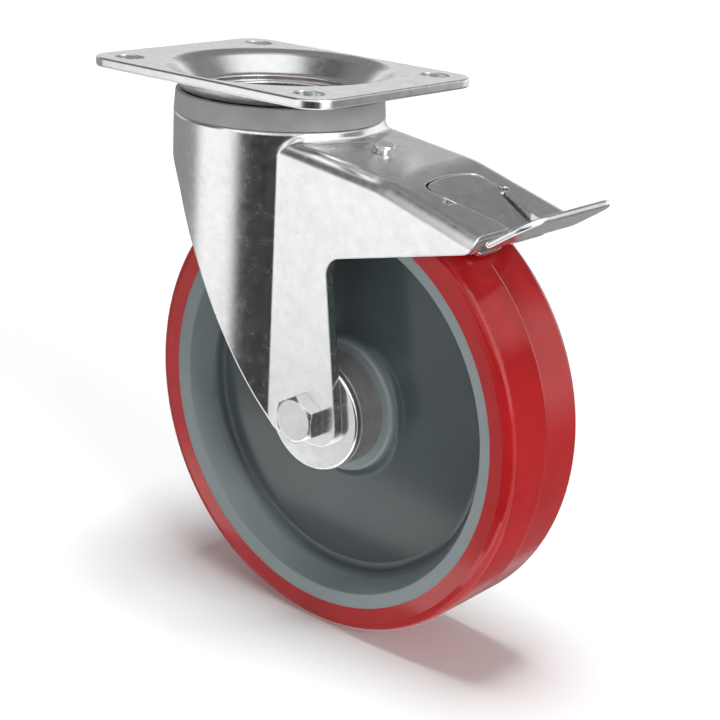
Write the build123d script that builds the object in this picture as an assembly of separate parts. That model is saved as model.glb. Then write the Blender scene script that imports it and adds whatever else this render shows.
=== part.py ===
from build123d import *
import os
from math import acos, atan2, cos, hypot, radians, sin, sqrt, tan

# Swivel castor, 200 mm wheel, pressed steel fork with a foot brake.
# Origin: centre of the plate's top face, on the swivel axis. +Z is up, out of the plate.
# +X is the side to which the wheel trails. Sizes are in millimetres.

# Top plate
plate_length = 135.0
plate_width = 105.0
plate_sheet = 4.0
plate_corner = 12.0
plate_edge = 0.8
bolt_spacing_x = 105.0
bolt_spacing_y = 80.0
bolt_hole = 11.0
bolt_slot_length = 13.5

# Pressed dish of the plate, whose underside is the upper ball race
dish_rim_radius = 47.3
dish_hole_radius = 36.0
dish_depth = 10.0
dish_floor_bend = 3.0
dish_rim_bend = 4.0
dish_apron = 0.5

# Swivel head
upper_ball = 6.0
upper_ball_count = 20
upper_race_inset = 4.0
lower_ball = 4.5
lower_ball_count = 20
lower_race_inset = 2.75
race_groove = 0.7
running_clearance = 0.03
press_clearance = 0.01
race_ring_wall = 2.5
race_ring_lip = 2.2
race_ring_floor = 3.0
race_ring_rim_gap = 0.5
race_ring_round = 1.0
race_hole_gap = 0.8
seal_drop = 6.5
seal_taper = 0.7
seal_wall = 2.3
seal_cone_gap = 0.6
seal_inner_dip = 1.2
seal_round = 0.5

# Pressed fork
crown_radius = 46.0
crown_bend = 1.8
fork_sheet = 4.5
fork_half_width = 34.0
fold_bend = 2.0
neck_height = 5.2
neck_bend = 3.8
hood_front_slope = 7.1
hood_rear_slope = 15.6
hood_break_reach = 33.0
hood_break_bend = 60.0
hood_rear_reach = 80.5
front_arch_drop = 15.4
front_arch_bend = 34.0

# Fork legs and side skirts
trail = 52.0
wheel_top_drop = 38.0
leg_front_reach = 24.6
leg_front_lean = 27.1
leg_rear_reach = 16.8
leg_rear_lean = 7.6
leg_below_axle = 11.5
leg_end_bend = 10.0
leg_corner_bend = 8.0
skirt_rear_depth = 6.5
skirt_rise = 13.7
skirt_corner_bend = 5.5

# Axle
axle_diameter = 12.0
axle_hole_clearance = 0.2
bolt_head_flats = 19.0
bolt_head_height = 7.5
nut_height = 12.0
bolt_end = 2.0
bolt_end_bevel = 1.0
bolt_head_bevel = 1.6
bolt_face_inset = 0.6
nut_collar_height = 3.6
nut_collar_inset = 0.9
nut_collar_round = 1.5
disc_radius = 25.0
disc_sheet = 3.0
disc_gap = 0.5
disc_edge = 0.7
turned_edge = 0.4

# Wheel
wheel_radius = 100.0
tyre_half_width = 24.0
tyre_depth = 11.0
tyre_shoulder = 4.5
tyre_tread_lean = 1.5
tyre_wall_lean = 0.6
tyre_round = 3.5
lip_width = 6.0
lip_lean = 1.4
lip_inset = 0.7
lip_round = 0.8
web_half_width = 8.0
rim_draft = 6.0
web_bend = 6.0
boss_radius = 29.5
boss_half_width = 13.0
boss_draft = 1.5
boss_bend = 4.0
boss_round = 1.5

# Hub with two deep groove ball bearings, 20 x 47 x 14
bearing_bore = 20.0
bearing_outside = 47.0
bearing_width = 14.0
bearing_ball = 7.9
bearing_ball_count = 8
bearing_ring_wall = 3.6
bearing_inset = 0.2
bearing_edge = 0.8
hub_tube_wall = 1.5
sleeve_wall = 2.5

# Brake pedal: tongue in the hood's window, arm and foot blade
pedal_sheet = 2.8
pedal_bend = 1.5
tongue_bend = 6.0
tongue_front_reach = 40.3
tongue_flat_end_reach = 54.0
tongue_wide_end_reach = 52.8
tongue_half_width = 17.2
nose_bow = 3.6
nose_round = 5.0
waist_reach = 58.5
waist_half_width = 14.0
arm_reach = 75.0
arm_half_width = 9.5
window_gap = 1.0
window_wide_end_reach = 55.0
window_waist_reach = 59.5
window_waist_gap = 0.8
window_arm_gap = 1.8
notch_reach = 56.5
notch_width = 3.0
notch_depth = 3.0
blade_front_reach = 84.5
blade_drop = 4.3
blade_root = 3.2
blade_neck = 1.9
blade_length = 23.7
blade_slope = 33.5
blade_half_width = 30.0
blade_corner = 11.0
blade_front_corner = 3.0
blade_edge = 1.1

# Pivot of the pedal and the roller that it pushes the leaf spring with
pivot_angle = 58.67
pivot_gap = 0.6
pivot_pin = 5.0
pin_head_rim = 1.0
pin_head_height = 1.2
lug_radius = 5.0
lug_root = 12.0
spacer_wall = 1.1
spacer_gap = 0.1
ear_half_width = 13.5
ear_radius = 4.8
ear_root = 8.0
roller_diameter = 5.0
roller_ear_radius = 4.0
roller_angle = 53.2
roller_gap = 0.4

# Leaf spring that the pedal presses on the tyre, and its rivet
leaf_sheet = 2.0
leaf_half_width = 9.0
leaf_front_reach = 0.0
leaf_bend_reach = 18.0
leaf_bend = 12.0
leaf_tyre_gap = 2.0
leaf_end_angle = 51.0
leaf_seat_gap = 0.1
leaf_corner = 4.0
leaf_hole_gap = 0.3
rivet_reach = 6.7
rivet_shank = 6.0
rivet_head = 10.0
rivet_head_height = 2.6
rivet_collar = 7.0
rivet_collar_height = 1.2
rivet_edge = 0.4
rivet_foot = 10.0
rivet_foot_height = 1.6
rivet_foot_edge = 0.6
rivet_foot_gap = 0.55

# Places that follow from the sizes above
trim = 200.0
tolerance = 0.01
dish_underside = dish_rim_radius + plate_sheet * sqrt(2)
upper_pitch = dish_hole_radius + upper_race_inset
upper_ball_z = upper_pitch - dish_underside - sqrt(2) * (upper_ball / 2 + running_clearance)
crown_top = upper_ball_z - upper_ball / 2 - running_clearance + race_groove
crown_underside = crown_top - fork_sheet
axle_drop = wheel_radius + wheel_top_drop
rim_floor_radius = wheel_radius - tyre_depth - lip_width - rim_draft
hood_break_x = trail + hood_break_reach
hood_rear_x = trail + hood_rear_reach
tongue_front_x = trail + tongue_front_reach
tongue_flat_end_x = trail + tongue_flat_end_reach
tongue_wide_end_x = trail + tongue_wide_end_reach
waist_x = trail + waist_reach
arm_x = trail + arm_reach
window_wide_end_x = trail + window_wide_end_reach
window_waist_x = trail + window_waist_reach
notch_x = trail + notch_reach
blade_front_x = trail + blade_front_reach
leaf_front_x = trail + leaf_front_reach
leaf_bend_x = trail + leaf_bend_reach
rivet_x = trail + rivet_reach
lower_pitch = dish_hole_radius + lower_race_inset
lower_ball_z = crown_underside + race_groove - running_clearance - lower_ball / 2
race_ring_top = lower_ball_z - lower_ball / 2 - running_clearance + race_groove
seal_top = -(plate_sheet + seal_drop)
fork_inside = fork_half_width - fork_sheet
crown_inside = crown_radius - fork_sheet
hood_start_z = crown_top - neck_height
hood_root_x = crown_radius / 2
hood_break_z = hood_start_z - (hood_break_x - crown_radius) * tan(radians(hood_front_slope))
axle_tube_half = fork_inside - disc_sheet
hub_half = axle_tube_half - disc_gap
lug_inner = tongue_half_width + window_gap
lug_outer = lug_inner + fork_sheet
leaf_radius = wheel_radius + leaf_tyre_gap + leaf_sheet
pivot_reach = leaf_radius + pivot_gap + pivot_pin / 2
pivot_x = trail + pivot_reach * cos(radians(pivot_angle))
pivot_z = -axle_drop + pivot_reach * sin(radians(pivot_angle))
roller_reach = leaf_radius + roller_gap + roller_diameter / 2
roller_x = trail + roller_reach * cos(radians(roller_angle))
roller_z = -axle_drop + roller_reach * sin(radians(roller_angle))
wheel_place = Pos(trail, 0, -axle_drop)
pivot_place = Pos(pivot_x, 0, pivot_z)


def hood_z(x):
    """Height of the hood's top face at x, on its two straight stretches."""
    if x < hood_break_x:
        return hood_break_z + (hood_break_x - x) * tan(radians(hood_front_slope))
    return hood_break_z - (x - hood_break_x) * tan(radians(hood_rear_slope))


def parallel(points, distance):
    """The open line through the points, moved to its right-hand side by the distance."""
    steps = [(b[0] - a[0], b[1] - a[1]) for a, b in zip(points, points[1:])]
    sides = [(dy / hypot(dx, dy), -dx / hypot(dx, dy)) for dx, dy in steps]
    moved = [(points[0][0] + sides[0][0] * distance, points[0][1] + sides[0][1] * distance)]
    for point, before, after in zip(points[1:], sides, sides[1:]):
        reach = distance / (1 + before[0] * after[0] + before[1] * after[1])
        moved.append((point[0] + (before[0] + after[0]) * reach, point[1] + (before[1] + after[1]) * reach))
    last = sides[-1]
    moved.append((points[-1][0] + last[0] * distance, points[-1][1] + last[1] * distance))
    return moved


def round_corner(face, point, radius):
    """Round the corner of a flat face that lies nearest the point."""
    corner = min(face.vertices(), key=lambda v: hypot(v.X - point[0], v.Y - point[1]))
    return fillet(corner, radius)


def bent_sheet(points, sheet, bends):
    """Section of a sheet whose one face follows the points, with a bend radius at each corner."""
    far = parallel(points, sheet)
    face = make_face(Polyline(*points, *reversed(far), close=True))
    for i, bend in enumerate(bends, start=1):
        before = (points[i][0] - points[i - 1][0], points[i][1] - points[i - 1][1])
        after = (points[i + 1][0] - points[i][0], points[i + 1][1] - points[i][1])
        turns_right = before[0] * after[1] - before[1] * after[0] < 0
        face = round_corner(face, points[i], bend + sheet if turns_right else bend)
        face = round_corner(face, far[i], bend if turns_right else bend + sheet)
    return face


def turned(face, axis=Axis.Z):
    """Solid of revolution of a face drawn with the radius as its first coordinate."""
    plane = Plane.XZ if axis == Axis.Z else Plane.XY
    return revolve(plane * face, axis=axis)


def ring(inner, outer, low, high, edge=0.0):
    """Turned ring about Z with a rectangular section, its edges broken by a small chamfer."""
    section = make_face(Polyline((inner, low), (outer, low), (outer, high), (inner, high), close=True))
    if edge:
        section = chamfer(section.vertices(), edge)
    return turned(section)


def along_y(shape):
    """Turn a shape modelled about Z so that its axis lies along Y."""
    return Rot(90, 0, 0) * shape


def groove(pitch, height, ball):
    """Ring of round section that a ball race is cut with."""
    return Pos(0, 0, height) * Torus(pitch, ball / 2 + running_clearance)


def ball_row(count, pitch, height, ball):
    """Balls spaced evenly about Z."""
    return [Rot(0, 0, 360 * i / count) * Pos(pitch, 0, height) * Sphere(ball / 2) for i in range(count)]


def make_top_plate():
    """Sheet with four slots and a deep pressed dish round the swivel axis."""
    dish_edge = dish_rim_radius + (dish_rim_bend + plate_sheet) * tan(radians(22.5)) + dish_apron
    sheet = RectangleRounded(plate_length, plate_width, plate_corner)
    sheet -= Circle(dish_edge)
    slot = SlotOverall(bolt_slot_length, bolt_hole)
    sheet -= GridLocations(bolt_spacing_x, bolt_spacing_y, 2, 2) * slot
    plate = Pos(0, 0, -plate_sheet) * extrude(sheet, plate_sheet)
    rims = [plate.faces().sort_by(Axis.Z)[i].outer_wire().edges() for i in (0, -1)]
    plate = fillet([*rims[0], *rims[1]], plate_edge)
    dish = bent_sheet(
        [
            (dish_hole_radius, -dish_depth),
            (dish_rim_radius - dish_depth, -dish_depth),
            (dish_rim_radius, 0),
            (dish_edge, 0),
        ],
        plate_sheet,
        [dish_floor_bend, dish_rim_bend],
    )
    return plate + turned(dish)


def make_race_ring():
    """Turned-up ring, pressed into the plate's hole, that carries the lower row of balls."""
    outer = dish_hole_radius - press_clearance
    bore = outer - race_ring_wall
    rim = crown_inside - race_ring_rim_gap
    top = -dish_depth - race_ring_lip
    bottom = race_ring_top - race_ring_floor
    section = make_face(
        Polyline(
            (bore, top),
            (outer, top),
            (outer, race_ring_top),
            (rim, race_ring_top),
            (rim, bottom),
            (bore, bottom),
            close=True,
        )
    )
    for corner in ((bore, bottom), (rim, bottom), (bore, top)):
        section = round_corner(section, corner, race_ring_round)
    return turned(section) - groove(lower_pitch, lower_ball_z, lower_ball)


def make_seal_ring():
    """Plastic dust ring, slightly conical, that stands on the fork's crown round the balls."""
    cone_radius = dish_underside + seal_top
    inner = crown_radius - seal_wall
    section = make_face(
        Polyline(
            (inner, crown_top),
            (crown_radius, crown_top),
            (crown_radius - seal_taper, seal_top),
            (cone_radius + seal_cone_gap, seal_top),
            (inner, seal_top - seal_inner_dip),
            close=True,
        )
    )
    section = round_corner(section, (crown_radius - seal_taper, seal_top), seal_round)
    return turned(section)


def hood_section(sheet_offset):
    """Side view of the hood's body below its top face, or below the same face moved down a sheet."""
    front_shift = sheet_offset / cos(radians(hood_front_slope))
    break_turn = radians(hood_rear_slope - hood_front_slope) / 2
    break_angle = radians(hood_rear_slope + hood_front_slope) / 2
    reach = sheet_offset / cos(break_turn)
    corner = (hood_break_x - reach * sin(break_angle), hood_break_z - reach * cos(break_angle))
    rear = hood_rear_x + 2 * sheet_offset
    rear_z = corner[1] - (rear - corner[0]) * tan(radians(hood_rear_slope))
    section = make_face(
        Polyline(
            (hood_root_x, hood_z(hood_root_x) - front_shift),
            corner,
            (rear, rear_z),
            (rear, -trim),
            (hood_root_x, -trim),
            close=True,
        )
    )
    return round_corner(section, corner, hood_break_bend - sheet_offset)


def hood_block(half_width, sheet_offset, bend):
    """Solid under the hood's top face with its two long upper edges rounded."""
    block = extrude(Plane.XZ * hood_section(sheet_offset), half_width, both=True)
    side_edges = [
        e
        for e in block.edges()
        if abs(abs(e.position_at(0.5).Y) - half_width) < tolerance
        and e.position_at(0.5).Z > hood_z(hood_rear_x) - 3 * fork_sheet
        and abs(e.tangent_at(0.5).X) > 0.5
    ]
    return fillet(side_edges, bend)


def fork_outline():
    """Side view of what is left of the pressing: front arch, leg, inner corner and skirt."""
    front_run = tan(radians(leg_front_lean))
    rear_run = tan(radians(leg_rear_lean))
    skirt_run = tan(radians(skirt_rise))
    arch_z = crown_top - front_arch_drop
    foot_z = -axle_drop - leg_below_axle
    arch_x = trail - leg_front_reach - (arch_z + axle_drop) * front_run
    foot_front = trail - leg_front_reach - (foot_z + axle_drop) * front_run
    foot_rear = trail + leg_rear_reach - (foot_z + axle_drop) * rear_run
    skirt_end_z = hood_z(hood_rear_x) - skirt_rear_depth
    height = skirt_end_z - (hood_rear_x - trail - leg_rear_reach) * skirt_run + axle_drop
    corner_z = height / (1 + rear_run * skirt_run)
    corner_x = trail + leg_rear_reach - corner_z * rear_run
    corner = (corner_x, corner_z - axle_drop)
    section = make_face(
        Polyline(
            (-trim, 0),
            (-trim, arch_z),
            (arch_x, arch_z),
            (foot_front, foot_z),
            (foot_rear, foot_z),
            corner,
            (hood_rear_x, skirt_end_z),
            (hood_rear_x, 0),
            close=True,
        )
    )
    section = round_corner(section, (arch_x, arch_z), front_arch_bend)
    section = round_corner(section, (foot_front, foot_z), leg_end_bend)
    section = round_corner(section, (foot_rear, foot_z), leg_end_bend)
    section = round_corner(section, corner, leg_corner_bend)
    return round_corner(section, (hood_rear_x, skirt_end_z), skirt_corner_bend)


def nosed_plan(front, half_width, rear_points):
    """Plan symmetrical about X: a bowed nose with rounded corners, then on through the points."""
    corner = (front + nose_bow, half_width)
    side = [corner, *rear_points]
    mirrored = [(x, -y) for x, y in side]
    nose = ThreePointArc((corner[0], -half_width), (front, 0), corner)
    plan = make_face([nose, Polyline(*side), Line(side[-1], mirrored[-1]), Polyline(*reversed(mirrored))])
    plan = round_corner(plan, corner, nose_round)
    return round_corner(plan, mirrored[0], nose_round)


def pedal_plan(rear_x):
    """Plan of the pedal's tongue and arm, as far back as rear_x."""
    rear_points = [
        (tongue_wide_end_x, tongue_half_width),
        (waist_x, waist_half_width),
        (arm_x, arm_half_width),
        (rear_x, arm_half_width),
    ]
    return nosed_plan(tongue_front_x, tongue_half_width, rear_points)


def window_plan():
    """Plan of the window that the tongue lies in, open to the rear, with a relief notch on each side."""
    half_width = tongue_half_width + window_gap
    arm = arm_half_width + window_arm_gap
    rear_points = [
        (window_wide_end_x, half_width),
        (window_waist_x, waist_half_width + window_waist_gap),
        (arm_x, arm),
        (hood_rear_x + fork_sheet, arm),
    ]
    plan = nosed_plan(tongue_front_x - window_gap, half_width, rear_points)
    notch = SlotOverall(2 * (half_width + notch_depth), notch_width, rotation=90)
    return plan + Pos(notch_x, 0) * notch


def make_fork():
    """One pressing: round crown, flat legs, hood with skirts, brake window and pivot lugs."""
    crown = Pos(0, 0, crown_top) * Cylinder(crown_radius, trim, align=(Align.CENTER, Align.CENTER, Align.MAX))
    outside = crown + hood_block(fork_half_width, 0, fold_bend + fork_sheet)
    crease = [
        e
        for e in outside.edges()
        if all(abs(hypot(e.position_at(t).X, e.position_at(t).Y) - crown_radius) < tolerance for t in (0.2, 0.5, 0.8))
        and e.position_at(0.5).X > 0
        and e.position_at(0.5).Z < crown_top - tolerance
        and e.position_at(0.5).Z > crown_top - trim + tolerance
    ]
    outside = fillet(crease, neck_bend)
    rim = [e for e in outside.edges() if abs(e.position_at(0.5).Z - crown_top) < tolerance]
    outside = fillet(rim, crown_bend)
    cavity = Pos(0, 0, crown_underside) * Cylinder(
        crown_inside, trim, align=(Align.CENTER, Align.CENTER, Align.MAX)
    )
    inside = cavity + hood_block(fork_inside, fork_sheet, fold_bend)
    fork = (outside - inside) & extrude(Plane.XZ * fork_outline(), trim, both=True)

    fork -= Pos(0, 0, crown_top) * Cylinder(dish_hole_radius + race_hole_gap, 4 * fork_sheet)
    fork -= groove(upper_pitch, upper_ball_z, upper_ball)
    fork -= groove(lower_pitch, lower_ball_z, lower_ball)

    fork -= extrude(Plane.XY.offset(hood_z(hood_rear_x) - 3 * fork_sheet) * window_plan(), trim)
    lug = pivot_lug()
    for side in (-1, 1):
        fork += Pos(0, side * (lug_inner + fork_sheet / 2), 0) * extrude(lug, fork_sheet / 2, both=True)
    fork -= pivot_place * along_y(Cylinder(pivot_pin / 2 + press_clearance, 2 * lug_outer + fork_sheet))
    fork -= wheel_place * along_y(Cylinder((axle_diameter + axle_hole_clearance) / 2, 3 * fork_half_width))
    fork -= rivet_place() * Cylinder(rivet_shank / 2 + press_clearance, 4 * fork_sheet)
    return fork


def pivot_lug():
    """Side view of a lug folded down from the window's edge, with its round end at the pivot."""
    front = pivot_x - lug_root / 2
    rear = pivot_x + lug_root / 2
    root = Line((front, hood_z(front) - fork_sheet / 2), (rear, hood_z(rear) - fork_sheet / 2))
    end = Pos(pivot_x, pivot_z) * Circle(lug_radius)
    return Plane.XZ * make_hull([root, *end.edges()])


def rivet_place():
    """Place of the spring's rivet: on the hood's top face, square to its front stretch."""
    return Pos(rivet_x, 0, hood_z(rivet_x)) * Rot(0, hood_front_slope, 0)


def make_spring_rivet():
    """Rivet with a collared head on the hood and a flat foot under the leaf spring."""
    shank_end = fork_sheet + leaf_seat_gap + leaf_sheet + rivet_foot_gap
    foot_end = shank_end + rivet_foot_height
    section = make_face(
        Polyline(
            (0, rivet_head_height),
            (rivet_head / 2, rivet_head_height),
            (rivet_head / 2, rivet_collar_height),
            (rivet_collar / 2, rivet_collar_height),
            (rivet_collar / 2, 0),
            (rivet_shank / 2, 0),
            (rivet_shank / 2, -shank_end),
            (rivet_foot / 2, -shank_end),
            (rivet_foot / 2 - rivet_foot_edge, -foot_end),
            (0, -foot_end),
            close=True,
        )
    )
    for height in (rivet_head_height, rivet_collar_height):
        section = round_corner(section, (rivet_head / 2, height), rivet_edge)
    return rivet_place() * turned(section)


def arm_line():
    """Top face of the pedal in side view: tongue, dive through the window, then the raised blade."""
    slope = radians(blade_slope)
    under = (blade_front_x, hood_z(hood_rear_x) - blade_drop)
    top = (under[0] - pedal_sheet * sin(slope), under[1] + pedal_sheet * cos(slope))
    tongue_end = (tongue_flat_end_x, hood_z(tongue_flat_end_x))
    bend_x = top[0] - blade_root
    bend = (bend_x, top[1] + (bend_x - top[0]) * tan(slope))
    tip = (top[0] + blade_length * cos(slope), top[1] + blade_length * sin(slope))
    return [(tongue_front_x, hood_z(tongue_front_x)), tongue_end, bend, tip]


def make_blade(line):
    """Foot blade: a flat plate with round corners and edges, square to the raised end of the line."""
    slope = radians(blade_slope)
    front = blade_neck / cos(slope)
    rear = hypot(line[3][0] - line[2][0], line[3][1] - line[2][1])
    plan = Pos((front + rear) / 2, 0) * Rectangle(rear - front, 2 * blade_half_width)
    corners = plan.vertices().group_by(Axis.X)
    plan = fillet(corners[-1], blade_corner)
    plan = fillet(plan.vertices().group_by(Axis.X)[0], blade_front_corner)
    plate = extrude(plan, -pedal_sheet)
    rims = plate.edges().group_by(Axis.Z)
    plate = fillet([*rims[0], *rims[-1]], blade_edge)
    forward = (cos(slope), 0, sin(slope))
    return Plane((line[2][0], 0, line[2][1]), x_dir=forward, z_dir=(-sin(slope), 0, cos(slope))) * plate


def make_brake_pedal():
    """Pressed lever: tongue in the hood's window, raised foot blade and two ears on the pivot."""
    line = arm_line()
    strip = Plane.XZ * bent_sheet(line, pedal_sheet, [tongue_bend, pedal_bend])
    strip = extrude(strip, blade_half_width, both=True)
    plan = pedal_plan(line[2][0] + blade_root)
    pedal = strip & extrude(Plane.XY.offset(-trim) * plan, trim)
    pedal += make_blade(line)

    arm_fall = (line[1][1] - line[2][1]) / (line[2][0] - line[1][0])
    root_front = tongue_wide_end_x - ear_root
    depth = pedal_sheet / 2
    root = [
        Line((root_front, hood_z(root_front) - depth), (line[1][0], line[1][1] - depth)),
        Line(
            (line[1][0], line[1][1] - depth),
            (tongue_wide_end_x, line[1][1] - arm_fall * (tongue_wide_end_x - line[1][0]) - depth),
        ),
    ]
    pivot_end = Pos(pivot_x, pivot_z) * Circle(ear_radius)
    roller_end = Pos(roller_x, roller_z) * Circle(roller_ear_radius)
    ear = make_hull([*root, *pivot_end.edges()]) + make_hull([*pivot_end.edges(), *roller_end.edges()])
    for side in (-1, 1):
        ear_middle = side * (ear_half_width - pedal_sheet / 2)
        pedal += Pos(0, ear_middle, 0) * extrude(Plane.XZ * ear, pedal_sheet / 2, both=True)
    pedal -= Pos(roller_x, 0, roller_z) * along_y(
        Cylinder(roller_diameter / 2 + press_clearance, 2 * ear_half_width + pedal_sheet)
    )
    return pedal - pivot_place * along_y(
        Cylinder(pivot_pin / 2 + running_clearance, 2 * ear_half_width + pedal_sheet)
    )


def make_brake_roller():
    """Cross pin between the pedal's ears that bears on the leaf spring."""
    pin = chamfer(Cylinder(roller_diameter / 2, 2 * ear_half_width).edges(), turned_edge)
    return Pos(roller_x, 0, roller_z) * along_y(pin)


def make_pivot_pin():
    """Pin through the fork's lugs and the pedal's ears, its ends spread over the lugs."""
    pin = Cylinder(pivot_pin / 2, 2 * lug_outer)
    for side in (-1, 1):
        head = Cylinder(pivot_pin / 2 + pin_head_rim, pin_head_height)
        pin += Pos(0, 0, side * (lug_outer + pin_head_height / 2)) * head
    return pivot_place * along_y(pin)


def make_pivot_spacers():
    """Two short tubes on the pin that keep the pedal midway between the lugs."""
    bore = pivot_pin / 2 + press_clearance
    tube = ring(bore, bore + spacer_wall, ear_half_width + spacer_gap, lug_inner)
    return [pivot_place * along_y(tube), pivot_place * along_y(mirror(tube, Plane.XY))]


def make_leaf_spring():
    """Spring strip riveted flat under the hood, then bent down to follow the tyre's tread."""
    slope = radians(hood_front_slope)
    seat = hood_z(leaf_front_x) - (fork_sheet + leaf_seat_gap) / cos(slope)
    bend = (leaf_bend_x, seat - (leaf_bend_x - leaf_front_x) * tan(slope))
    out = (bend[0] - trail, bend[1] + axle_drop)
    touch_angle = atan2(out[1], out[0]) - acos(leaf_radius / hypot(*out))
    end_angle = radians(leaf_end_angle)

    def on_arc(angle, radius):
        return (trail + radius * cos(angle), -axle_drop + radius * sin(angle))

    top = [(leaf_front_x, seat), bend, on_arc(touch_angle, leaf_radius)]
    low = parallel(top, leaf_sheet)
    middle_angle = (touch_angle + end_angle) / 2
    inner_radius = leaf_radius - leaf_sheet
    section = make_face(
        [
            Line(top[0], top[1]),
            Line(top[1], top[2]),
            ThreePointArc(top[2], on_arc(middle_angle, leaf_radius), on_arc(end_angle, leaf_radius)),
            Line(on_arc(end_angle, leaf_radius), on_arc(end_angle, inner_radius)),
            ThreePointArc(on_arc(end_angle, inner_radius), on_arc(middle_angle, inner_radius), low[2]),
            Line(low[2], low[1]),
            Line(low[1], low[0]),
            Line(low[0], top[0]),
        ]
    )
    section = round_corner(section, top[1], leaf_bend + leaf_sheet)
    section = round_corner(section, low[1], leaf_bend)
    strip = extrude(Plane.XZ * section, leaf_half_width, both=True)
    rear = max(v.X for v in strip.vertices())
    tips = [e for e in strip.edges() if e.position_at(0.5).X > rear - leaf_sheet and e.length < 2 * leaf_sheet]
    strip = fillet(tips, leaf_corner)
    return strip - rivet_place() * Cylinder(rivet_shank / 2 + leaf_hole_gap, 8 * fork_sheet)


def make_axle_bolt():
    """Hexagon bolt whose head bears on the near leg."""
    head = extrude(RegularPolygon(bolt_head_flats / 2, 6, major_radius=False), bolt_head_height)
    corner = bolt_head_flats / sqrt(3)
    bevel = turned(
        make_face(
            Polyline(
                (0, 0),
                (corner + bolt_face_inset, 0),
                (corner + bolt_face_inset, bolt_head_height - bolt_head_bevel),
                (bolt_head_flats / 2 - bolt_face_inset, bolt_head_height),
                (0, bolt_head_height),
                close=True,
            )
        )
    )
    shank_length = 2 * fork_half_width + nut_height + bolt_end
    shank = Cylinder(axle_diameter / 2, shank_length, align=(Align.CENTER, Align.CENTER, Align.MAX))
    shank = chamfer(shank.edges().group_by(Axis.Z)[0], bolt_end_bevel)
    bolt = Pos(0, 0, fork_half_width) * ((head & bevel) + shank)
    return wheel_place * along_y(bolt)


def make_axle_nut():
    """Self-locking nut on the far leg, with a round collar over its insert."""
    hexagon = nut_height - nut_collar_height
    body = extrude(RegularPolygon(bolt_head_flats / 2, 6, major_radius=False), hexagon)
    collar = Pos(0, 0, hexagon) * Cylinder(
        bolt_head_flats / 2 - nut_collar_inset, nut_collar_height, align=(Align.CENTER, Align.CENTER, Align.MIN)
    )
    collar = fillet(collar.edges().group_by(Axis.Z)[-1], nut_collar_round)
    nut = body + collar - Cylinder(axle_diameter / 2 + press_clearance, 4 * nut_height)
    return wheel_place * along_y(Rot(180, 0, 0) * Pos(0, 0, fork_half_width) * nut)


def on_both_sides(shape):
    """A turned shape on the near side and its mirror image on the far side, along the axle."""
    near = wheel_place * along_y(shape)
    far = wheel_place * along_y(mirror(shape, Plane.XY))
    return near, far


def make_cover_discs():
    """Zinc discs clamped between the legs and the axle tube."""
    bore = (axle_diameter + axle_hole_clearance) / 2
    return on_both_sides(ring(bore, disc_radius, axle_tube_half, fork_inside, disc_edge))


def make_axle_tube():
    """Tube on the bolt that the legs are drawn against through the discs."""
    bore = (axle_diameter + axle_hole_clearance) / 2
    tube = ring(bore, bearing_bore / 2 - press_clearance, -axle_tube_half, axle_tube_half, turned_edge)
    return wheel_place * along_y(tube)


def bearing_span():
    """Inner and outer end of a bearing, measured from the wheel's middle plane."""
    outer_end = hub_half - bearing_inset
    return outer_end - bearing_width, outer_end


def bearing_groove(low, high):
    """Round groove that the bearing's balls run in."""
    pitch = (bearing_bore + bearing_outside) / 4
    return groove(pitch, (low + high) / 2, bearing_ball)


def make_inner_rings():
    """Inner rings of the two ball bearings, on the axle tube."""
    low, high = bearing_span()
    inner = ring(bearing_bore / 2, bearing_bore / 2 + bearing_ring_wall, low, high, bearing_edge)
    return on_both_sides(inner - bearing_groove(low, high))


def make_outer_rings():
    """Outer rings of the two ball bearings, pressed into the hub tube."""
    low, high = bearing_span()
    outside = bearing_outside / 2 - press_clearance
    outer = ring(outside - bearing_ring_wall, outside, low, high, bearing_edge)
    return on_both_sides(outer - bearing_groove(low, high))


def make_bearing_balls():
    """Balls of the two bearings."""
    low, high = bearing_span()
    pitch = (bearing_bore + bearing_outside) / 4
    near = ball_row(bearing_ball_count, pitch, (low + high) / 2, bearing_ball)
    far = ball_row(bearing_ball_count, pitch, -(low + high) / 2, bearing_ball)
    return [wheel_place * along_y(b) for b in near], [wheel_place * along_y(b) for b in far]


def make_spacer_sleeve():
    """Sleeve on the axle tube that keeps the inner rings apart."""
    low = bearing_span()[0]
    sleeve = ring(bearing_bore / 2, bearing_bore / 2 + sleeve_wall, -low, low)
    return wheel_place * along_y(sleeve)


def make_hub_tube():
    """Steel tube through the wheel's boss that both bearings are pressed into."""
    inside = bearing_outside / 2
    return wheel_place * along_y(ring(inside, inside + hub_tube_wall, -hub_half, hub_half, turned_edge))


def make_wheel_centre():
    """Moulded centre: boss, plain web and a dished rim, symmetrical about its middle plane."""
    bore = bearing_outside / 2 + hub_tube_wall + press_clearance
    seat = wheel_radius - tyre_depth - press_clearance
    lip_outer = tyre_half_width - lip_inset
    lip_inner = lip_outer - lip_lean
    half = [
        (bore, boss_half_width),
        (boss_radius, boss_half_width),
        (boss_radius + boss_draft, web_half_width),
        (rim_floor_radius, web_half_width),
        (seat - lip_width, lip_inner),
        (seat, lip_outer),
    ]
    section = make_face(Polyline(*half, *[(r, -y) for r, y in reversed(half)], close=True))
    for side in (-1, 1):
        section = round_corner(section, (half[3][0], side * half[3][1]), web_bend)
        section = round_corner(section, (half[2][0], side * half[2][1]), boss_bend)
        section = round_corner(section, (half[1][0], side * half[1][1]), boss_round)
        section = round_corner(section, (half[4][0], side * half[4][1]), lip_round)
    return wheel_place * turned(section, Axis.Y)


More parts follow.
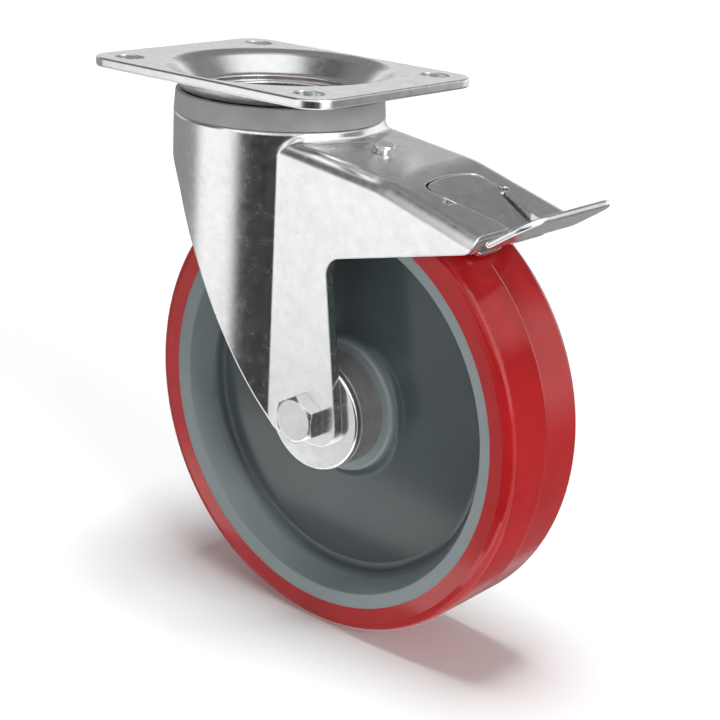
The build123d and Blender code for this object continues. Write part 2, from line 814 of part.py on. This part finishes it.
def make_tyre():
    """Cast polyurethane tyre with a flat tread and small round shoulders."""
    seat = wheel_radius - tyre_depth
    half = [
        (wheel_radius, tyre_half_width - tyre_tread_lean),
        (wheel_radius - tyre_shoulder, tyre_half_width),
        (seat, tyre_half_width - tyre_wall_lean),
    ]
    section = make_face(Polyline(*half, *[(r, -y) for r, y in reversed(half)], close=True))
    for side in (-1, 1):
        section = round_corner(section, (half[0][0], side * half[0][1]), tyre_round)
    return wheel_place * turned(section, Axis.Y)


def parts():
    """Every node's solid or solids by name."""
    disc_near, disc_far = make_cover_discs()
    inner_near, inner_far = make_inner_rings()
    outer_near, outer_far = make_outer_rings()
    balls_near, balls_far = make_bearing_balls()
    return {
        "top_plate": make_top_plate(),
        "race_ring": make_race_ring(),
        "upper_balls": ball_row(upper_ball_count, upper_pitch, upper_ball_z, upper_ball),
        "lower_balls": ball_row(lower_ball_count, lower_pitch, lower_ball_z, lower_ball),
        "seal_ring": make_seal_ring(),
        "fork": make_fork(),
        "spring_rivet": make_spring_rivet(),
        "leaf_spring": make_leaf_spring(),
        "brake_pedal": make_brake_pedal(),
        "brake_roller": make_brake_roller(),
        "pivot_pin": make_pivot_pin(),
        "pivot_spacers": make_pivot_spacers(),
        "axle_bolt": make_axle_bolt(),
        "axle_nut": make_axle_nut(),
        "cover_disc_near": disc_near,
        "cover_disc_far": disc_far,
        "axle_tube": make_axle_tube(),
        "spacer_sleeve": make_spacer_sleeve(),
        "bearing_inner_near": inner_near,
        "bearing_inner_far": inner_far,
        "bearing_balls_near": balls_near,
        "bearing_balls_far": balls_far,
        "bearing_outer_near": outer_near,
        "bearing_outer_far": outer_far,
        "hub_tube": make_hub_tube(),
        "wheel_centre": make_wheel_centre(),
        "tyre": make_tyre(),
    }


os.makedirs("parts", exist_ok=True)
for name, shape in parts().items():
    if isinstance(shape, list):
        shape = Compound(children=shape)
    shape.label = name
    export_step(shape, f"parts/{name}.step")
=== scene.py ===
from math import cos, radians, sin

import bpy
from mathutils import Matrix, Vector


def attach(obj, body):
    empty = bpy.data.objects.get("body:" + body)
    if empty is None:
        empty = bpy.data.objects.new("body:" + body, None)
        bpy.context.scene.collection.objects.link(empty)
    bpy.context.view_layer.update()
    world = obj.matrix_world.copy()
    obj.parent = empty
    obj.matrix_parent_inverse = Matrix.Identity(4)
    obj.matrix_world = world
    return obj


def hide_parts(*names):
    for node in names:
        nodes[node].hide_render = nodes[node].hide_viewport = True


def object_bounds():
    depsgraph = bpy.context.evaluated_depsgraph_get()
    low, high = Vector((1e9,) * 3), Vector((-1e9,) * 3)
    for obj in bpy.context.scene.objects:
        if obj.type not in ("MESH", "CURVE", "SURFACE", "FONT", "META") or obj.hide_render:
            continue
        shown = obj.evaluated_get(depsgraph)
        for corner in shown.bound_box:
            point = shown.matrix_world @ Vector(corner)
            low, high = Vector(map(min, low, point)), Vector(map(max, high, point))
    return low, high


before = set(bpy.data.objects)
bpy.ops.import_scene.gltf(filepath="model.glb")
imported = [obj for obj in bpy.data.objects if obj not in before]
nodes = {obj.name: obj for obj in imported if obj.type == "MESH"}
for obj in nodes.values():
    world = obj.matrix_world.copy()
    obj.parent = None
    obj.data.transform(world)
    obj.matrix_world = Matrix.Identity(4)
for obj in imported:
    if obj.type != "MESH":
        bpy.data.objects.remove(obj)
cad_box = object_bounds()
scene = bpy.context.scene
floor_height = cad_box[0][2]

# Camera, solved from the photograph: angles in degrees, lens in millimetres
CAMERA_PLACE = (0.472384, -0.505179, 0.109202)
CAMERA_AZIMUTH = 39.735
CAMERA_ELEVATION = 19.263
CAMERA_ROLL = 3.022
CAMERA_LENS = 79.906
SENSOR_WIDTH = 36

# The bolt's axis, and the angle that brings its head to where the photograph has it
AXLE_PLACE = (0.052, 0, -0.138)
BOLT_TURN = 30

# Wheel centre: its web ends and its walls begin between these distances from the middle plane, where the
# painted shade on the web gives way to painted light on the walls and rim
WEB_FACE = 0.0090
WALL_START = 0.0125

# Tread: slope of its crown, and the half width and height of the seam on it
CROWN_SLOPE = 0.05
SEAM_REACH = 0.0006
SEAM_HEIGHT = 0.00012

# Studio: brightness of the background, for the eye and as light
BACKGROUND_LIGHT = 0.23
BACKGROUND_SEEN = 1.0
FLOOR_COLOUR = (0.852, 0.865, 0.865, 1)
FLOOR_GLOW = 0.08
FLOOR_REACH = 8.0

# Tent: white, with grey patches named after what mirrors them; angles in degrees
TENT_RADIUS = 3.0
TENT_COLUMNS = 144
TENT_ROWS = 72
TENT_LEVEL = 1.14
TENT_PATCHES = {
    "hood_top": {"azimuth": 132, "elevation": 51, "width": 140, "height": 66, "soft": 6, "level": 0.22},
    "hood_fold": {"azimuth": 220, "elevation": 45, "width": 52, "height": 78, "soft": 6, "level": 0.09},
    "crown_end": {"azimuth": 161, "elevation": -20, "width": 114, "height": 56, "soft": 7, "level": 0.29},
    "low_edges": {"azimuth": -130, "elevation": -52, "width": 70, "height": 56, "soft": 7, "level": 0.40},
    "crown_stripe": {"azimuth": -56, "elevation": -18, "width": 72, "height": 64, "soft": 6, "level": 0.03},
    "tread_side": {
        "azimuth": 36,
        "elevation": -13,
        "width": 34,
        "height": 60,
        "soft": 3,
        "level": 0.20,
        "bow": 0.014,
    },
    "tread_foot": {"azimuth": 78, "elevation": -36, "width": 50, "height": 50, "soft": 8, "level": 0.20},
    "tread_shoulder": {"azimuth": -6, "elevation": 31, "width": 38, "height": 62, "soft": 4, "level": 3.0},
}

# Bright strip of floor that the tyre and the wheel's dish mirror
GLOW_CORNERS = [(-0.30, -0.184), (0.30, -0.075), (0.30, -0.06), (-0.30, -0.09)]
GLOW_RISE = 0.001
GLOW_LEVEL = 2.4


def place_camera():
    azimuth, elevation, roll = radians(CAMERA_AZIMUTH), radians(CAMERA_ELEVATION), radians(CAMERA_ROLL)
    back = Vector((sin(azimuth) * cos(elevation), -cos(azimuth) * cos(elevation), sin(elevation)))
    right = Vector((0, 0, 1)).cross(back).normalized()
    up = back.cross(right)
    rolled_right = right * cos(roll) + up * sin(roll)
    rolled_up = up * cos(roll) - right * sin(roll)
    camera = bpy.data.objects.new("camera", bpy.data.cameras.new("camera"))
    camera.data.sensor_width = SENSOR_WIDTH
    camera.data.lens = CAMERA_LENS
    camera.data.clip_start = 0.01
    camera.data.clip_end = 50
    turn = Matrix((rolled_right, rolled_up, back)).transposed().to_4x4()
    camera.matrix_world = Matrix.Translation(CAMERA_PLACE) @ turn
    scene.collection.objects.link(camera)
    scene.camera = camera


# Node materials
class Shader:
    """A material's node tree with short calls for the nodes that the finishes below share."""

    def __init__(self, name):
        self.material = bpy.data.materials.new(name)
        self.material.use_nodes = True
        self.tree = self.material.node_tree
        self.surface = self.tree.nodes["Principled BSDF"]
        self.place = self.tree.nodes.new("ShaderNodeTexCoord").outputs["Object"]

    def set(self, **values):
        for key, value in values.items():
            self.surface.inputs[key.replace("_", " ")].default_value = value

    def specular(self, level):
        self.surface.inputs["Specular IOR Level"].default_value = level

    def join(self, source, target):
        self.tree.links.new(source, target)

    def stretched(self, scale):
        node = self.tree.nodes.new("ShaderNodeMapping")
        node.inputs["Scale"].default_value = scale
        self.join(self.place, node.inputs["Vector"])
        return node.outputs["Vector"]

    def noise(self, size, detail=2.0, stretch=None, rough=0.5):
        node = self.tree.nodes.new("ShaderNodeTexNoise")
        node.inputs["Scale"].default_value = 1 / size
        node.inputs["Detail"].default_value = detail
        node.inputs["Roughness"].default_value = rough
        self.join(self.stretched(stretch) if stretch else self.place, node.inputs["Vector"])
        return node.outputs["Fac"]

    def spread(self, source, low, high, start=0.3, end=0.7):
        node = self.tree.nodes.new("ShaderNodeMapRange")
        for key, value in (("From Min", start), ("From Max", end), ("To Min", low), ("To Max", high)):
            node.inputs[key].default_value = value
        self.join(source, node.inputs["Value"])
        return node.outputs["Result"]

    def colours(self, source, stops):
        """Base colour from a source, between two stops of a position and a colour."""
        node = self.tree.nodes.new("ShaderNodeValToRGB")
        for element, (position, colour) in zip(node.color_ramp.elements, stops):
            element.position, element.color = position, (*colour, 1)
        self.join(source, node.inputs["Fac"])
        self.join(node.outputs["Color"], self.surface.inputs["Base Color"])

    def roughness(self, source, low, high):
        self.join(self.spread(source, low, high), self.surface.inputs["Roughness"])

    def math(self, kind, a, b):
        node = self.tree.nodes.new("ShaderNodeMath")
        node.operation = kind
        for socket, value in zip(node.inputs, (a, b)):
            if isinstance(value, (int, float)):
                socket.default_value = value
            else:
                self.join(value, socket)
        return node.outputs[0]

    def off_middle(self):
        """Distance from the wheel's middle plane, in metres."""
        across = self.tree.nodes.new("ShaderNodeSeparateXYZ")
        self.join(self.place, across.inputs["Vector"])
        return self.math("ABSOLUTE", across.outputs["Y"], 0)

    def bumps(self, *layers, edge=None):
        """Rounded edges where a radius is given, then layers of a height source and its depth in metres."""
        last = None
        if edge:
            bevel = self.tree.nodes.new("ShaderNodeBevel")
            bevel.samples = 6
            bevel.inputs["Radius"].default_value = edge
            last = bevel.outputs["Normal"]
        for source, depth in layers:
            node = self.tree.nodes.new("ShaderNodeBump")
            node.inputs["Strength"].default_value = 1.0
            node.inputs["Distance"].default_value = depth
            self.join(source, node.inputs["Height"])
            if last:
                self.join(last, node.inputs["Normal"])
            last = node.outputs["Normal"]
        self.join(last, self.surface.inputs["Normal"])


def zinc(name, tone=0.86, low=0.19, high=0.29, wave=0.00003, edge=0.0008):
    """Bright zinc plating on rolled sheet: soft waves, a fine grain and faint blotches."""
    s = Shader(name)
    s.set(Metallic=1.0)
    blotch = s.noise(0.006, 5.0, rough=0.6)
    s.colours(blotch, [(0.32, (tone * 0.93, tone * 0.935, tone * 0.94)), (0.6, (tone, tone, tone * 1.005))])
    s.roughness(s.noise(0.004, 6.0, rough=0.65), low, high)
    s.bumps((s.noise(0.014, 2.0), wave), (s.noise(0.0009, 3.0), wave * 0.25), edge=edge)
    return s.material


def ground_steel():
    s = Shader("ground_steel")
    s.set(Metallic=1.0)
    s.colours(s.noise(0.003, 3.0), [(0.3, (0.42, 0.43, 0.45)), (0.7, (0.56, 0.57, 0.59))])
    s.roughness(s.noise(0.001, 3.0), 0.18, 0.30)
    s.bumps((s.noise(0.0008, 2.0), 0.000004), edge=0.0003)
    return s.material


def bare_steel_tube():
    s = Shader("bare_steel_tube")
    s.set(Metallic=0.6)
    s.colours(s.noise(0.006, 4.0), [(0.3, (0.29, 0.275, 0.267)), (0.7, (0.38, 0.362, 0.352))])
    s.roughness(s.noise(0.002, 4.0), 0.38, 0.55)
    s.bumps((s.noise(0.001, 3.0, stretch=(1, 0.15, 1)), 0.00001))
    return s.material


def dust_ring_plastic():
    s = Shader("dust_ring_plastic")
    s.colours(s.noise(0.012, 3.0), [(0.3, (0.36, 0.36, 0.36)), (0.7, (0.42, 0.42, 0.42))])
    s.roughness(s.noise(0.0015, 3.0), 0.50, 0.62)
    s.bumps((s.noise(0.0006, 2.0), 0.000008))
    return s.material


def moulded_plastic():
    """Wheel centre: painted shade darkens the web deep in the dish and painted light brightens the walls
    and rim, with a faint cloudiness over both.
    """
    s = Shader("moulded_plastic")
    s.specular(0.30)
    # Painted shade and light: dark on the web near the middle plane, lighter from the walls out to the rim
    painted_light_share = s.spread(s.off_middle(), 0, 1, start=WEB_FACE, end=WALL_START)
    painted_shade_and_cloud = s.math("ADD", s.math("MULTIPLY", painted_light_share, 0.9), s.math("MULTIPLY", s.noise(0.03, 3.0), 0.1))
    # Painted shade colour of the web at 0, painted light colour of the walls and rim at 0.95
    s.colours(painted_shade_and_cloud, [(0.0, (0.068, 0.087, 0.092)), (0.95, (0.262, 0.304, 0.313))])
    s.roughness(s.noise(0.003, 4.0), 0.14, 0.20)
    s.bumps((s.noise(0.016, 2.0), 0.00003), (s.noise(0.0009, 2.0), 0.000003))
    return s.material


def cast_polyurethane():
    """Tread: a low crown with the mould's thin seam round its middle."""
    s = Shader("cast_polyurethane")
    s.specular(0.38)
    s.colours(s.noise(0.02, 3.0), [(0.3, (0.46, 0.010, 0.012)), (0.7, (0.52, 0.015, 0.017))])
    s.roughness(s.noise(0.008, 3.0), 0.12, 0.18)
    off_middle = s.off_middle()
    crown = s.math("MULTIPLY", off_middle, -CROWN_SLOPE)
    seam = s.spread(off_middle, SEAM_HEIGHT, 0, start=0, end=SEAM_REACH)
    shape = s.math("ADD", crown, seam)
    s.bumps((shape, 1.0), (s.noise(0.02, 2.0), 0.00004), (s.noise(0.001, 2.0), 0.000004))
    return s.material


def make_materials():
    return {
        "sheet": zinc("zinc_sheet"),
        "turned": zinc("zinc_turned", tone=0.84, low=0.16, high=0.24, wave=0.00001),
        "bolt": zinc("zinc_bolt", tone=0.76, low=0.20, high=0.30, wave=0.00002),
        "bearing": ground_steel(),
        "tube": bare_steel_tube(),
        "seal": dust_ring_plastic(),
        "centre": moulded_plastic(),
        "tread": cast_polyurethane(),
    }


def dress(finishes):
    worn_by = {
        "sheet": ["top_plate", "fork", "brake_pedal"],
        "turned": ["cover_disc_near", "cover_disc_far", "spring_rivet", "pivot_spacers"],
        "bolt": ["axle_bolt", "axle_nut", "pivot_pin", "leaf_spring"],
        "bearing": [
            "race_ring",
            "upper_balls",
            "lower_balls",
            "brake_roller",
            "bearing_inner_near",
            "bearing_inner_far",
            "bearing_balls_near",
            "bearing_balls_far",
            "bearing_outer_near",
            "bearing_outer_far",
        ],
        "tube": ["hub_tube", "axle_tube", "spacer_sleeve"],
        "seal": ["seal_ring"],
        "centre": ["wheel_centre"],
        "tread": ["tyre"],
    }
    for finish, names in worn_by.items():
        for name in names:
            for slot in nodes[name].material_slots:
                slot.material = finishes[finish]


def turn_bolt(angle):
    """The same bolt, turned about its own axis until its head stands as in the photograph."""
    axle = Matrix.Translation(AXLE_PLACE)
    mesh = nodes["axle_bolt"].data.copy()
    mesh.name = "turned_axle_bolt"
    mesh.transform(axle @ Matrix.Rotation(radians(angle), 4, "Y") @ axle.inverted())
    turned = bpy.data.objects.new("turned_axle_bolt", mesh)
    scene.collection.objects.link(turned)
    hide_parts("axle_bolt")
    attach(turned, "fork_frame")


# Studio: pale floor, soft light, and a tent and a bright strip that only reflections see
def background_ray(tree):
    """Light Path factor that is 1 for camera, glossy and transmission rays."""
    path = tree.nodes.new("ShaderNodeLightPath")
    total = path.outputs["Is Camera Ray"]
    for name in ("Is Glossy Ray", "Is Transmission Ray"):
        add = tree.nodes.new("ShaderNodeMath")
        add.operation = "MAXIMUM"
        tree.links.new(total, add.inputs[0])
        tree.links.new(path.outputs[name], add.inputs[1])
        total = add.outputs[0]
    return total


def make_world():
    world = bpy.data.worlds.new("studio")
    world.use_nodes = True
    tree = world.node_tree
    tree.nodes["Background"].inputs["Color"].default_value = (1, 1, 1, 1)
    strength = tree.nodes.new("ShaderNodeMapRange")
    strength.inputs["To Min"].default_value = BACKGROUND_LIGHT
    strength.inputs["To Max"].default_value = BACKGROUND_SEEN
    tree.links.new(background_ray(tree), strength.inputs["Value"])
    tree.links.new(strength.outputs["Result"], tree.nodes["Background"].inputs["Strength"])
    scene.world = world


def make_floor(height):
    s = Shader("floor_white")
    s.set(Base_Color=FLOOR_COLOUR, Roughness=0.9, Emission_Color=(1, 1, 1, 1))
    s.specular(0.0)
    glow = s.math("MULTIPLY", background_ray(s.tree), FLOOR_GLOW)
    s.join(glow, s.surface.inputs["Emission Strength"])
    mesh = bpy.data.meshes.new("floor")
    corners = [(FLOOR_REACH * x, FLOOR_REACH * y, height) for x, y in ((-1, -1), (1, -1), (1, 1), (-1, 1))]
    mesh.from_pydata(corners, [], [(0, 1, 2, 3)])
    mesh.materials.append(s.material)
    floor = bpy.data.objects.new("floor", mesh)
    scene.collection.objects.link(floor)
    floor.visible_glossy = False


def show_to_reflections(piece):
    """Keeps a stage piece out of everything but reflections."""
    scene.collection.objects.link(piece)
    for flag in ("visible_camera", "visible_diffuse", "visible_transmission", "visible_shadow"):
        setattr(piece, flag, False)


def glowing(name):
    """(material, its emission node) of a surface that only gives light."""
    material = bpy.data.materials.new(name)
    material.use_nodes = True
    tree = material.node_tree
    glow = tree.nodes.new("ShaderNodeEmission")
    tree.links.new(glow.outputs["Emission"], tree.nodes["Material Output"].inputs["Surface"])
    return material, glow


def soft_step(value, start, end):
    share = min(max((value - start) / (end - start), 0.0), 1.0)
    return share * share * (3 - 2 * share)


def span_share(distance, span, soft):
    """1 inside a span round its middle and 0 outside, with an edge that is soft to both sides."""
    return 1 - soft_step(abs(distance), span / 2 - soft, span / 2 + soft)


def patch_share(azimuth, elevation, patch):
    """How far a patch covers one direction, from 0 to 1. A bowed patch leans over with the elevation."""
    bow = patch.get("bow", 0) * elevation * elevation
    turn = (azimuth - bow - patch["azimuth"] + 180) % 360 - 180
    rise = elevation - patch["elevation"]
    across = span_share(turn, patch["width"], patch["soft"])
    upward = span_share(rise, patch["height"], patch["soft"])
    return across * upward


def tent_level(azimuth, elevation):
    level = TENT_LEVEL
    for patch in TENT_PATCHES.values():
        level += (patch["level"] - level) * patch_share(azimuth, elevation, patch)
    return level


def make_tent():
    """White tent with grey patches, as in a photo studio."""
    points = []
    levels = []
    for j in range(TENT_ROWS + 1):
        for i in range(TENT_COLUMNS):
            azimuth, elevation = 360 * i / TENT_COLUMNS - 180, 180 * j / TENT_ROWS - 90
            a, e = radians(azimuth), radians(elevation)
            ring_radius = TENT_RADIUS * cos(e)
            points.append((ring_radius * cos(a), ring_radius * sin(a), TENT_RADIUS * sin(e)))
            levels.append(tent_level(azimuth, elevation))
    faces = []
    for j in range(TENT_ROWS):
        for i in range(TENT_COLUMNS):
            this, after = j * TENT_COLUMNS, (j + 1) * TENT_COLUMNS
            k = (i + 1) % TENT_COLUMNS
            faces.append((this + i, this + k, after + k, after + i))
    mesh = bpy.data.meshes.new("surround")
    mesh.from_pydata(points, [], faces)
    paint = mesh.attributes.new("level", "FLOAT", "POINT")
    for item, level in zip(paint.data, levels):
        item.value = level
    material, glow = glowing("surround")
    material.cycles.emission_sampling = "NONE"
    level = material.node_tree.nodes.new("ShaderNodeAttribute")
    level.attribute_name = "level"
    material.node_tree.links.new(level.outputs["Fac"], glow.inputs["Strength"])
    mesh.materials.append(material)
    show_to_reflections(bpy.data.objects.new("surround", mesh))


def make_glow(corners, height, level):
    """Bright strip of floor."""
    mesh = bpy.data.meshes.new("floor_glow")
    mesh.from_pydata([(x, y, height) for x, y in corners], [], [tuple(range(len(corners)))])
    material, glow = glowing("floor_glow")
    glow.inputs["Strength"].default_value = level
    mesh.materials.append(material)
    show_to_reflections(bpy.data.objects.new("floor_glow", mesh))


def make_sun(name, azimuth, elevation, strength, spread):
    """Soft sun that lights dull surfaces and doesn't show in reflections; angles in degrees."""
    data = bpy.data.lights.new(name, "SUN")
    data.energy = strength
    data.angle = radians(spread)
    sun = bpy.data.objects.new(name, data)
    a, e = radians(azimuth), radians(elevation)
    aim = Vector((cos(a) * cos(e), sin(a) * cos(e), sin(e)))
    sun.rotation_euler = aim.to_track_quat("Z", "Y").to_euler()
    scene.collection.objects.link(sun)
    sun.visible_glossy = False


scene.view_settings.view_transform = "Standard"
place_camera()
dress(make_materials())
turn_bolt(BOLT_TURN)
make_world()
make_floor(floor_height)
make_tent()
make_glow(GLOW_CORNERS, floor_height + GLOW_RISE, GLOW_LEVEL)
make_sun("sun_key", azimuth=-18, elevation=24, strength=1.15, spread=20)
make_sun("sun_top", azimuth=0, elevation=90, strength=2.5, spread=22)
